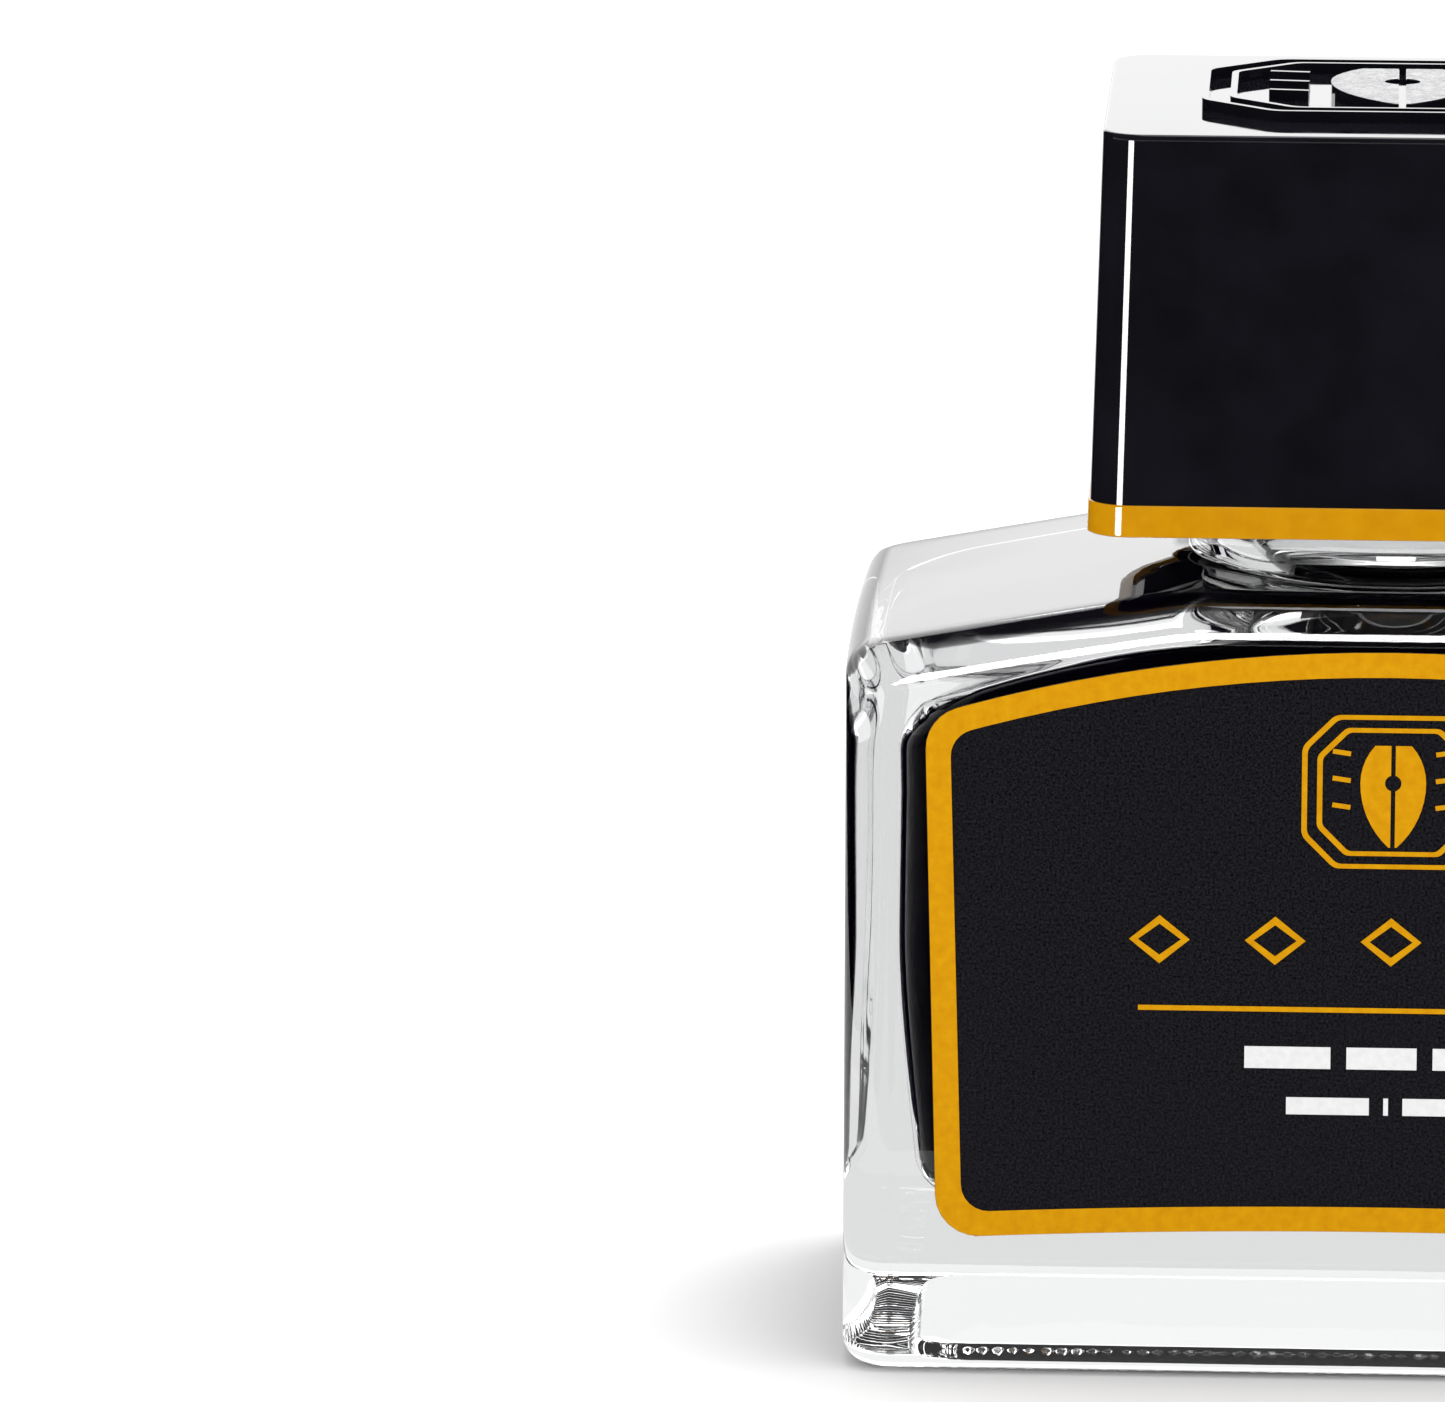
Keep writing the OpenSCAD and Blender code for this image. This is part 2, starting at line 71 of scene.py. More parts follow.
SHOULDER_Z = 50.1 * MM       # height of the shoulder in the middle
SHOULDER_FLAT = 11.5 * MM    # half width over which the shoulder is level
SHOULDER_SLOPE = math.tan(math.radians(10))
SHOULDER_SOFT = 2 * MM       # how gently the level part turns into the slope
BODY_CORNER = 3 * MM
BASE_CORNER_MIN = 2 * MM     # the least corner radius left where the base rolls under
ROLLED_CORNER_MIN = 1.4 * MM # the same where a wall rolls over at its top
FRONT_ROLL = 3.1 * MM
END_ROLL = 1.8 * MM
END_BOW = 0.3 * MM           # how far the two ends bow out between the corners
BASE_ROLL = 1.9 * MM
BEARING_W = 3.1 * MM         # width of the ring that the bottle stands on
RIM_W = 0.9 * MM             # width of the steep rim of the hollow in the underside
RIM_CORNER = 3 * MM
RIM_WAVE = 0.7 * MM          # fine ripples in that rim
RIM_WAVE_DEPTH = 0.05 * MM
RIM_SEED = 5
PUSH_UP = 1.2 * MM
STUD_PITCH = 1.2 * MM        # studs moulded into the bearing ring
STUD_H = 0.3 * MM
STUD_SHARPNESS = 1.3         # how steep a stud's sides are
STUD_SHARE = 0.3             # how much of the ring the studs take up
BASE_DETAIL = 5              # how much finer the mesh is around the studs

CEILING_Z = 46.6 * MM
CEILING_FLAT = 6 * MM
CEILING_BEND = 7.9
CHAMBER_CORNER = 5 * MM
CHAMBER_ROLL = 2.6 * MM
CHAMBER_FRONT_ROLL = 1.8 * MM
CHAMBER_END_ROLL = 2.6 * MM
WALL_WAVE = 4.5 * MM         # slow waves in the blown inner wall
WALL_WAVE_DEPTH = 0.25 * MM
WALL_WAVE_STRETCH = 3.5
WALL_WAVE_SEED = 3
WALL_WAVE_REACH = 6          # the higher, the nearer the waves keep to the two ends
WAVE_TOP = 41 * MM
CHAMBER_TAPER = 1.3 * MM     # how far the chamber draws in towards its floor
TAPER_TOP = 27 * MM          # the height where that begins
TAPER_CURVE = 1.6
FLOOR_CORNER_SHARE = 0.8     # how fast the chamber's corners tighten as its floor rolls in
INK_OVERLAP = 0.03 * MM      # the ink wets the glass, so it has no air gap

NECK_R = 12.6 * MM
NECK_FLARE = 2 * MM
BORE_R = 9.5 * MM
BORE_FILLET = 1.2 * MM
LIP_ROLL = 0.9 * MM
MOUTH_ROLL = 0.8 * MM
THREAD_H = 1.1 * MM
THREAD_Z = 55.3 * MM
THREAD_PITCH = 4.2 * MM
THREAD_TURNS = 1.3
THREAD_ROOT = 1.2 * MM
THREAD_CREST = 0.55 * MM
THREAD_FADE = 40.0           # degrees over which the thread rises out of the neck

CORNER_STEPS = 12
LONG_STEPS = 44
SHORT_STEPS = 24
ROLL_STEPS = 12              # rings over a rolled edge
WALL_STEPS = 30
RIM_STEPS = 6
TOP_STEPS = 7                # rings across the shoulder or the ceiling
FLARE_STEPS = 8
NECK_STEPS = 56              # fine enough for the thread
LIP_STEPS = 6
BORE_STEPS = 8


# ---- mesh helpers -----------------------------------------------------------------------------------


def outline(half_x, half_y, radius, finer=1):
    """Points of a rounded rectangle, anticlockwise. Every outline has the same number of them,
    or that number times finer."""
    points = []
    corners = [(1, 1), (-1, 1), (-1, -1), (1, -1)]
    arcs = []
    for i, (sx, sy) in enumerate(corners):
        turn = np.radians(90 * i + np.linspace(0, 90, CORNER_STEPS * finer + 1))
        arcs.append(
            np.c_[
                sx * (half_x - radius) + radius * np.cos(turn),
                sy * (half_y - radius) + radius * np.sin(turn),
            ]
        )
    for i, arc in enumerate(arcs):
        steps = finer * (SHORT_STEPS if i % 2 else LONG_STEPS)
        along = np.linspace(0, 1, steps + 1)[1:-1, None]
        points += [arc, arc[-1] + along * (arcs[(i + 1) % 4][0] - arc[-1])]
    return np.concatenate(points)


def with_height(points, z):
    """Plan points with their heights: one number, or one for each point."""
    return np.c_[points, np.broadcast_to(z, len(points))]


def edge_points(start, size, parts, k):
    """Numbers of the points along part k of a ring that is split into equal parts."""
    step = size // parts
    return [int(start + (k * step + i) % size) for i in range(step + 1)]


def loft(name, rings, around=False):
    """A mesh that runs through rings, closed at both ends or into a loop. A ring may have a whole
    number of times as many points as the next."""
    verts = np.concatenate(rings)
    sizes = [len(ring) for ring in rings]
    starts = np.concatenate([[0], np.cumsum(sizes)[:-1]])
    count = len(rings)
    faces = []
    for i in range(count if around else count - 1):
        j = (i + 1) % count
        n = min(sizes[i], sizes[j])
        for k in range(n):
            one = edge_points(starts[i], sizes[i], n, k)
            other = edge_points(starts[j], sizes[j], n, k)
            faces.append(one + other[::-1])
    if not around:
        faces.append(list(range(sizes[0] - 1, -1, -1)))
        faces.append([int(starts[-1]) + k for k in range(sizes[-1])])
    mesh = bpy.data.meshes.new(name)
    mesh.from_pydata([tuple(v) for v in verts], [], faces)
    mesh.update()
    for polygon in mesh.polygons:
        polygon.use_smooth = True
    obj = bpy.data.objects.new(name, mesh)
    scene.collection.objects.link(obj)
    return obj


def ripple(points, size, depth, seed):
    """Random waves of a size, from 0 to depth, at each point."""
    offset = Vector((seed, 0.37 * seed, 0.61 * seed))
    waves = [noise.noise(Vector(p) / size + offset) for p in points]
    return depth * np.clip(0.5 + 0.5 * np.array(waves), 0, 1)


# ---- glass ------------------------------------------------------------------------------------------


def shoulder_height(x):
    past = np.maximum(0, np.abs(x) - SHOULDER_FLAT)
    return SHOULDER_Z - SHOULDER_SLOPE * (np.hypot(past, SHOULDER_SOFT) - SHOULDER_SOFT)


def ceiling_height(x):
    return CEILING_Z - CEILING_BEND * np.maximum(0, np.abs(x) - CEILING_FLAT) ** 2


def rolled_over(half_x, half_y, corner, height, rolls, low_z):
    """Rings up a wall from a height and over its rolled upper edge, with radii for front and ends."""
    rings = []
    front_roll, end_roll = rolls
    reference = outline(half_x, half_y, corner)
    end_share = np.clip((np.abs(reference[:, 0]) - (half_x - corner)) / corner, 0, 1) ** 2
    radius = front_roll + (end_roll - front_roll) * end_share
    wall_top = height(reference[:, 0]) - radius
    for i in range(1, WALL_STEPS):
        rings.append(with_height(reference, low_z + (wall_top - low_z) * i / WALL_STEPS))
    for i in range(ROLL_STEPS + 1):
        turn = math.radians(90 * i / ROLL_STEPS)
        inset = 1 - math.cos(turn)
        ring = outline(
            half_x - end_roll * inset,
            half_y - front_roll * inset,
            max(corner - front_roll * inset, ROLLED_CORNER_MIN),
        )
        rings.append(with_height(ring, height(ring[:, 0]) - radius * (1 - math.sin(turn))))
    return rings


def between(outer, inner, height, steps):
    """Rings across a top face, from one outline to another inside it."""
    rings = []
    for i in range(1, steps):
        share = i / steps
        plan = outer[:, :2] + (inner[:, :2] - outer[:, :2]) * share
        rings.append(with_height(plan, height(plan[:, 0])))
    return rings


def circle(radius, turns):
    return np.c_[radius * np.cos(turns), radius * np.sin(turns)]


def thread_height(turns, z):
    """How far the neck's thread stands out at each angle, at one height."""
    total = 360 * THREAD_TURNS
    out = np.zeros(len(turns))
    for lap in (0, 1):
        along = np.degrees(turns) % 360 + 360 * lap
        middle = THREAD_Z + THREAD_PITCH * along / 360
        grow = np.clip(np.minimum(along, total - along) / THREAD_FADE, 0, 1)
        flank = (THREAD_ROOT - np.abs(z - middle)) / (THREAD_ROOT - THREAD_CREST)
        smooth = np.clip(flank, 0, 1) ** 2 * (3 - 2 * np.clip(flank, 0, 1))
        out = np.maximum(out, THREAD_H * grow * smooth)
    return out


def stud_gaps():
    """Height of the bearing ring above the floor at each of its points: nothing under a stud."""
    ring = outline(BODY_X, BODY_Y, BODY_CORNER, BASE_DETAIL)
    step = np.linalg.norm(np.roll(ring, -1, axis=0) - ring, axis=1)
    along = np.concatenate([[0], np.cumsum(step)[:-1]])
    stud = STUD_SHARPNESS * np.cos(2 * np.pi * along / STUD_PITCH) + STUD_SHARE
    return STUD_H * (1 - np.clip(stud, 0, 1))


def base_rings():
    """Rings from the middle of the underside out to the foot of the wall."""
    rings = []
    inner_x = BODY_X - BASE_ROLL - BEARING_W
    inner_y = BODY_Y - BASE_ROLL - BEARING_W
    for share in (0.15, 0.4, 0.65, 0.85, 0.96):
        plan = outline(inner_x * share, inner_y * share, RIM_CORNER * share)
        rings.append(with_height(plan, PUSH_UP))
    gaps = stud_gaps()
    for i in range(RIM_STEPS + 1):
        share = i / RIM_STEPS
        soft = share * share * (3 - 2 * share)
        plan = outline(inner_x + share * RIM_W, inner_y + share * RIM_W, RIM_CORNER, BASE_DETAIL)
        ring = with_height(plan, PUSH_UP * (1 - soft) + gaps * soft)
        wave = ripple(ring, RIM_WAVE, RIM_WAVE_DEPTH, RIM_SEED)[:, None]
        ring[:, :2] *= 1 - wave / inner_y
        rings.append(ring)
    for i in range(ROLL_STEPS + 1):
        turn = math.radians(90 * i / ROLL_STEPS)
        inset = BASE_ROLL * (1 - math.sin(turn))
        corner = max(BODY_CORNER - inset, BASE_CORNER_MIN)
        plan = outline(BODY_X - inset, BODY_Y - inset, corner, BASE_DETAIL)
        low = gaps * max(0, 1 - 2 * i / ROLL_STEPS)
        rings.append(with_height(plan, np.maximum(BASE_ROLL * (1 - math.cos(turn)), low)))
    return rings


def bowed(ring):
    """A ring of the outside, drawn in towards the four corners. The neck keeps its shape."""
    shoulder_x = NECK_R + NECK_FLARE
    past_neck = np.clip((np.abs(ring[:, 0]) - shoulder_x) / (BODY_X - shoulder_x), 0, 1)
    share = END_BOW / BODY_X * past_neck * (ring[:, 1] / BODY_Y) ** 2
    return np.c_[ring[:, 0] * (1 - share), ring[:, 1:]]


def outer_rings():
    """Rings from the underside up the outside of the bottle to the top of its neck."""
    rings = base_rings()
    rolls = (FRONT_ROLL, END_ROLL)
    rings += rolled_over(BODY_X, BODY_Y, BODY_CORNER, shoulder_height, rolls, BASE_ROLL)
    turns = np.arctan2(rings[-1][:, 1], rings[-1][:, 0])
    root = circle(NECK_R + NECK_FLARE, turns)
    rings += between(rings[-1], root, shoulder_height, TOP_STEPS)
    for i in range(FLARE_STEPS + 1):
        share = i / FLARE_STEPS
        turn = math.radians(90 * share)
        plan = circle(NECK_R + NECK_FLARE * (1 - math.sin(turn)), turns)
        rise = NECK_FLARE * (1 - math.cos(turn))
        foot = shoulder_height(root[:, 0]) * (1 - share) + SHOULDER_Z * share
        rings.append(with_height(plan, foot + rise))
    rings = [bowed(ring) for ring in rings]
    neck_from = SHOULDER_Z + NECK_FLARE
    for i in range(1, NECK_STEPS + 1):
        z = neck_from + (LIP_Z - LIP_ROLL - neck_from) * i / NECK_STEPS
        rings.append(with_height(circle(NECK_R + thread_height(turns, z), turns), z))
    for i in range(1, LIP_STEPS + 1):
        turn = math.radians(90 * i / LIP_STEPS)
        plan = circle(NECK_R - LIP_ROLL * (1 - math.cos(turn)), turns)
        rings.append(with_height(plan, LIP_Z - LIP_ROLL * (1 - math.sin(turn))))
    return rings, turns


def chamber_rings(grow, turns=None):
    """Rings of the chamber from its ceiling down to its floor, larger all round by grow.
    With turns given, they start at the fillet under the bore."""
    half_x, half_y = CHAMBER_X + grow, CHAMBER_Y + grow

    def ceiling(x):
        return ceiling_height(x) + grow

    rolls = (CHAMBER_FRONT_ROLL, CHAMBER_END_ROLL)
    top = rolled_over(half_x, half_y, CHAMBER_CORNER, ceiling, rolls, FLOOR_Z + CHAMBER_ROLL)[::-1]
    rings = []
    if turns is None:
        turns = np.arctan2(top[0][:, 1], top[0][:, 0])
    mouth = circle(BORE_R + BORE_FILLET, turns)
    rings.append(with_height(mouth, ceiling(mouth[:, 0])))
    rings += between(rings[0], top[0], ceiling, TOP_STEPS)
    rings += top
    for i in range(ROLL_STEPS + 1):
        turn = math.radians(90 * i / ROLL_STEPS)
        inset = CHAMBER_ROLL * (1 - math.cos(turn))
        corner = CHAMBER_CORNER - FLOOR_CORNER_SHARE * inset
        ring = outline(half_x - inset, half_y - inset, corner)
        rings.append(with_height(ring, FLOOR_Z - grow + CHAMBER_ROLL * (1 - math.sin(turn))))
    last = rings[-1]
    for share in (0.8, 0.5, 0.2):
        rings.append(np.c_[last[:, :2] * share, last[:, 2]])
    return [blown(ring) for ring in rings]


def blown(ring):
    """A ring of the chamber with the taper towards its floor and the slow waves of its walls."""
    depth = np.clip((TAPER_TOP - ring[:, 2]) / (TAPER_TOP - FLOOR_Z), 0, 1)
    tall = ring * (1, 1, 1 / WALL_WAVE_STRETCH)
    near_end = np.clip(np.abs(ring[:, 0]) / CHAMBER_X, 0, 1) ** WALL_WAVE_REACH
    below_roll = np.clip((WAVE_TOP - ring[:, 2]) / WALL_WAVE, 0, 1)
    wave = near_end * below_roll * ripple(tall, WALL_WAVE, WALL_WAVE_DEPTH, WALL_WAVE_SEED)
    share = 1 - (CHAMBER_TAPER * depth**TAPER_CURVE + wave) / CHAMBER_X
    return np.c_[ring[:, 0] * share, ring[:, 1] * share, ring[:, 2]]


def bore_rings(turns):
    """Rings over the lip, down the bore and through the fillet under it."""
    rings = []
    for i in range(LIP_STEPS + 1):
        turn = math.radians(90 * i / LIP_STEPS)
        radius = BORE_R + MOUTH_ROLL * (1 - math.sin(turn))
        z = LIP_Z - MOUTH_ROLL * (1 - math.cos(turn))
        rings.append(with_height(circle(radius, turns), z))
    low = CEILING_Z + BORE_FILLET
    high = LIP_Z - MOUTH_ROLL
    for i in range(1, BORE_STEPS + 1):
        rings.append(with_height(circle(BORE_R, turns), high + (low - high) * i / BORE_STEPS))
    for i in range(1, LIP_STEPS):
        turn = math.radians(90 * i / LIP_STEPS)
        radius = BORE_R + BORE_FILLET * (1 - math.cos(turn))
        rings.append(with_height(circle(radius, turns), low - BORE_FILLET * math.sin(turn)))
    return rings


def make_glass():
    outer, turns = outer_rings()
    inner = chamber_rings(0, turns)
    return loft("Glass_body", outer + bore_rings(turns) + inner)


def make_ink():
    """The ink, from its floor up, so that its faces point outwards."""
    rings = chamber_rings(INK_OVERLAP)
    first = rings[0]
    middle = [np.c_[first[:, :2] * share, first[:, 2]] for share in (0.2, 0.6)]
    return loft("Ink_fill", (middle + rings)[::-1])


# ---- cap --------------------------------------------------------------------------------------------

CAP_W = 37.2 * MM
CAP_D = 33.4 * MM
CAP_FLARE = 1.3 * MM
CAP_CORNER = 2.5 * MM
CAP_WALL = 1.5 * MM
CAP_ROOF = 1.8 * MM
CAP_BEVEL = 0.2 * MM
BAND_PROUD = 0.12 * MM
REBATE = 0.8 * MM
EDGE = 0.06 * MM             # small bevel along the band's edges
CAP_CORNER_MIN = 0.6 * MM
CAP_MARGIN = 8 * MM          # a flat stretch of wall that keeps the shading of the edges narrow
ROOF_MARGIN = 6 * MM         # the same on the two faces of the roof


def cap_ring(inset, z):
    """The cap's outline at a height, set in from its outside."""
    spread = 1 + CAP_FLARE * (CAP_TOP - z) / (CAP_TOP - band_low.z) / CAP_W
    radius = max(CAP_CORNER - inset, CAP_CORNER_MIN)
    return with_height(outline(CAP_W / 2 - inset, CAP_D / 2 - inset, radius) * spread, z)


def sharpen(obj, degrees):
    obj.data.set_sharp_from_angle(angle=math.radians(degrees))


def make_cap_shell():
    roof = CAP_TOP - CAP_ROOF
    profile = [
        (CAP_WALL + ROOF_MARGIN, roof),
        (CAP_WALL, roof),
        (CAP_WALL, cap_low.z),
        (REBATE, cap_low.z),
        (REBATE, band_high.z),
        (0, band_high.z),
        (0, band_high.z + CAP_MARGIN),
        (0, CAP_TOP - CAP_MARGIN),
        (0, CAP_TOP - 2 * CAP_BEVEL),
        (0, CAP_TOP - CAP_BEVEL),
        (0.08 * CAP_BEVEL, CAP_TOP - 0.6 * CAP_BEVEL),
        (0.3 * CAP_BEVEL, CAP_TOP - 0.3 * CAP_BEVEL),
        (0.6 * CAP_BEVEL, CAP_TOP - 0.08 * CAP_BEVEL),
        (CAP_BEVEL, CAP_TOP),
        (2 * CAP_BEVEL, CAP_TOP),
        (CAP_BEVEL + ROOF_MARGIN, CAP_TOP),
    ]
    obj = loft("Cap_shell_body", [cap_ring(inset, z) for inset, z in profile])
    sharpen(obj, 30)
    return obj


def make_cap_band():
    low, high = band_low.z, band_high.z
    out = -BAND_PROUD
    profile = [
        (REBATE, low),
        (out + EDGE, low),
        (out, low + EDGE),
        (out, low + 2 * EDGE),
        (out, high - 2 * EDGE),
        (out, high - EDGE),
        (out + EDGE, high),
        (REBATE, high),
    ]
    obj = loft("Cap_band_ring", [cap_ring(inset, z) for inset, z in profile], around=True)
    sharpen(obj, 60)
    return obj


# ---- materials ----------------------------------------------------------------------------------------


NOISE_LOW = 0.3              # nearly all of a noise texture lies between these
NOISE_HIGH = 0.7


class Paint:
    """A material with a Principled shader, and the few nodes that give it its detail."""

    def __init__(self, name, **sockets):
        self.material = bpy.data.materials.new(name)
        self.material.use_nodes = True
        self.tree = self.material.node_tree
        self.shader = self.tree.nodes["Principled BSDF"]
        self.place = self.tree.nodes.new("ShaderNodeTexCoord").outputs["Object"]
        for socket, value in sockets.items():
            self.shader.inputs[socket.replace("_", " ")].default_value = value

    def node(self, kind, inputs, **settings):
        made = self.tree.nodes.new(kind)
        for key, value in settings.items():
            setattr(made, key, value)
        for key, value in inputs.items():
            if isinstance(value, bpy.types.NodeSocket):
                self.tree.links.new(value, made.inputs[key])
            else:
                made.inputs[key].default_value = value
        return made

    def noise(self, size, detail=3.0, stretch=(1, 1, 1)):
        """Noise whose features are about size metres across."""
        place = self.place
        if tuple(stretch) != (1, 1, 1):
            place = self.node("ShaderNodeMapping", {"Vector": place, "Scale": stretch}).outputs[0]
        inputs = {"Vector": place, "Scale": 1 / size, "Detail": detail}
        return self.node("ShaderNodeTexNoise", inputs).outputs[0]

    def spread(self, value, low, high):
        """Maps noise, which stays near a half, to the range from low to high."""
        inputs = {"Value": value, "From Min": NOISE_LOW, "From Max": NOISE_HIGH}
        inputs.update({"To Min": low, "To Max": high})
        return self.node("ShaderNodeMapRange", inputs).outputs[0]

    def colour(self, value, dark, light):
        made = self.tree.nodes.new("ShaderNodeValToRGB")
        made.color_ramp.elements[0].color = (*dark, 1)
        made.color_ramp.elements[1].color = (*light, 1)
        made.color_ramp.elements[0].position = NOISE_LOW
        made.color_ramp.elements[1].position = NOISE_HIGH
        self.tree.links.new(value, made.inputs[0])
        self.tree.links.new(made.outputs[0], self.shader.inputs["Base Color"])

    def roughness(self, value, low, high):
        self.tree.links.new(self.spread(value, low, high), self.shader.inputs["Roughness"])

    def bump(self, *layers):
        """Layers of (value, depth in metres), one on top of the other."""
        normal = None
        for value, depth in layers:
            inputs = {"Height": value, "Distance": depth, "Strength": 1.0}
            if normal is not None:
                inputs["Normal"] = normal
            normal = self.node("ShaderNodeBump", inputs).outputs[0]
        self.tree.links.new(normal, self.shader.inputs["Normal"])


def glass_paint():
    paint = Paint("clear_glass", IOR=1.52, Transmission_Weight=1.0)
    paint.shader.inputs["Base Color"].default_value = (0.86, 0.868, 0.87, 1)
    smudge = paint.noise(9 * MM, 4)
    paint.roughness(smudge, 0.0, 0.012)
    paint.bump((paint.noise(14 * MM, 1), 0.05 * MM), (paint.noise(3 * MM, 2), 0.003 * MM))
    return paint.material


def ink_paint():
    # Seen from inside the glass, so the IOR is below 1: ink against glass.
    paint = Paint("black_ink", IOR=0.92, Roughness=0.02)
    paint.colour(paint.noise(12 * MM), (0.0012, 0.0006, 0.0025), (0.004, 0.002, 0.009))
    paint.bump((paint.noise(6 * MM, 2), 0.01 * MM))
    return paint.material


def label_film_paint():
    paint = Paint("label_black", IOR=1.3, Specular_IOR_Level=0.15)
    paint.colour(paint.noise(0.16 * MM, 6), (0.0003, 0.0003, 0.0014), (0.0165, 0.0155, 0.02))
    paint.roughness(paint.noise(2 * MM), 0.5, 0.62)
    paint.bump((paint.noise(0.25 * MM, 4), 0.004 * MM), (paint.noise(20 * MM, 1), 0.01 * MM))
    return paint.material


def gold_print_paint():
    paint = Paint("label_gold_print", IOR=1.4, Specular_IOR_Level=0.06)
    paint.colour(paint.noise(0.7 * MM, 5), (0.575, 0.248, 0.0006), (0.655, 0.315, 0.0022))
    paint.roughness(paint.noise(1.5 * MM), 0.34, 0.5)
    paint.bump((paint.noise(0.3 * MM, 4), 0.004 * MM))
    return paint.material


def white_print_paint():
    paint = Paint("label_white_print", IOR=1.4, Specular_IOR_Level=0.3)
    paint.colour(paint.noise(0.5 * MM, 5), (0.72, 0.72, 0.72), (0.8, 0.8, 0.8))
    paint.roughness(paint.noise(1.5 * MM), 0.4, 0.55)
    paint.bump((paint.noise(0.3 * MM, 4), 0.004 * MM))
    return paint.material


def cap_black_paint():
    paint = Paint("cap_gloss_black", IOR=1.43)
    paint.colour(paint.noise(5 * MM, 6), (0.0044, 0.0044, 0.0062), (0.0072, 0.0072, 0.0102))
    paint.roughness(paint.noise(2.5 * MM, 5), 0.02, 0.06)
    wave = paint.noise(9 * MM, 1)
    paint.bump((wave, 0.006 * MM), (paint.noise(0.4 * MM, 2, (1, 1, 0.15)), 0.0002 * MM))
    return paint.material


def cap_gold_paint():
    paint = Paint("cap_gold_band", IOR=1.45)
    paint.colour(paint.noise(1.2 * MM, 5), (0.535, 0.232, 0.0015), (0.59, 0.272, 0.003))
    paint.roughness(paint.noise(2 * MM, 4), 0.05, 0.1)
    paint.bump((paint.noise(0.5 * MM, 3), 0.0006 * MM))
    return paint.material


def satin_foil_paint():
    paint = Paint("satin_silver_foil", Metallic=1.0)
    paint.colour(paint.noise(0.14 * MM, 6), (0.16, 0.16, 0.165), (0.42, 0.42, 0.43))
    paint.roughness(paint.noise(0.5 * MM), 0.28, 0.45)
    paint.bump((paint.noise(0.12 * MM, 4), 0.012 * MM))
    return paint.material


def moulded_plastic_paint():
    paint = Paint("closure_moulded_plastic", IOR=1.5)
    paint.colour(paint.noise(4 * MM, 4), (0.024, 0.024, 0.028), (0.038, 0.038, 0.043))
    paint.roughness(paint.noise(1.5 * MM), 0.32, 0.46)
    paint.bump((paint.noise(0.35 * MM, 4), 0.01 * MM))
    return paint.material


def liner_paint():
    paint = Paint("liner_foam", IOR=1.4, Specular_IOR_Level=0.2)
    paint.colour(paint.noise(0.5 * MM, 5), (0.72, 0.7, 0.65), (0.86, 0.85, 0.81))
    paint.roughness(paint.noise(1 * MM), 0.75, 0.9)
    pores = paint.node("ShaderNodeTexVoronoi", {"Vector": paint.place, "Scale": 1 / (0.35 * MM)})
    paint.bump((pores.outputs["Distance"], 0.05 * MM))
    return paint.material


def dress(obj, material):
    """Puts a material in every slot of an object."""
    if not obj.material_slots:
        obj.data.materials.append(material)
    for held in obj.material_slots:
        held.link = "OBJECT"
        held.material = material


# ---- the pieces -------------------------------------------------------------------------------------

cap_black = cap_black_paint()
PIECES = [
    # builder, CAD node it stands for, body, slot, material
    (make_glass, "glass_bottle", "bottle", "glass", glass_paint()),
    (make_ink, "ink", "bottle", "ink", ink_paint()),
    (make_cap_shell, "cap_shell", "cap", "cap_black", cap_black),
    (make_cap_band, "cap_band", "cap", "cap_gold", cap_gold_paint()),
]
gold_print = gold_print_paint()
white_print = white_print_paint()
moulded_plastic = moulded_plastic_paint()
NODE_MATERIALS = {
    "label_film": label_film_paint(),
    "label_frame": gold_print,
    "label_emblem": gold_print,
    "label_lozenges": gold_print,
    "label_rule": gold_print,
    "label_caption_bars": white_print,
    "label_volume_bars": white_print,
    "sealing_liner": liner_paint(),
    "threaded_closure": moulded_plastic,
    "cap_insert": moulded_plastic,
    "cap_emblem_lines": cap_black,
    "cap_emblem_plates": satin_foil_paint(),
}

cap_lit = bpy.data.collections.new("Cap_lit")
glass_lit = bpy.data.collections.new("Glass_lit")
for build, node, body, slot, material in PIECES:
    piece = build()
    lit = cap_lit if body == "cap" else glass_lit
    lit.objects.link(piece)
    dress(piece, material)
    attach(piece, body)
    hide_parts(node)
for node, material in NODE_MATERIALS.items():
    dress(nodes[node], material)

# ---- studio -----------------------------------------------------------------------------------------


WALL_AWAY = 0.25
WALL_HALF_W = 0.045
WALL_HIGH = 0.3
SHARED_ARC = 30              # degrees either side of straight behind that the cap reflects too
FLOOR_REACH = 4
FLAG_REACH = 0.9
FLAG_Z = 2 * MM
FLAG_FRONT_Y = -0.07         # the front flag ends here, and the left one begins
# height of the black card of painted shadow under the base
SHADOW_CARD_Z = 0.05 * MM


def plain_material(name, colour, glow):
    material = bpy.data.materials.new(name)
    material.use_nodes = True
    shader = material.node_tree.nodes["Principled BSDF"]
    shader.inputs["Base Color"].default_value = (*colour, 1)
    shader.inputs["Roughness"].default_value = 0.9
    shader.inputs["Specular IOR Level"].default_value = 0.0
    shader.inputs["Emission Color"].default_value = (1, 1, 1, 1)
    shader.inputs["Emission Strength"].default_value = glow
    return material


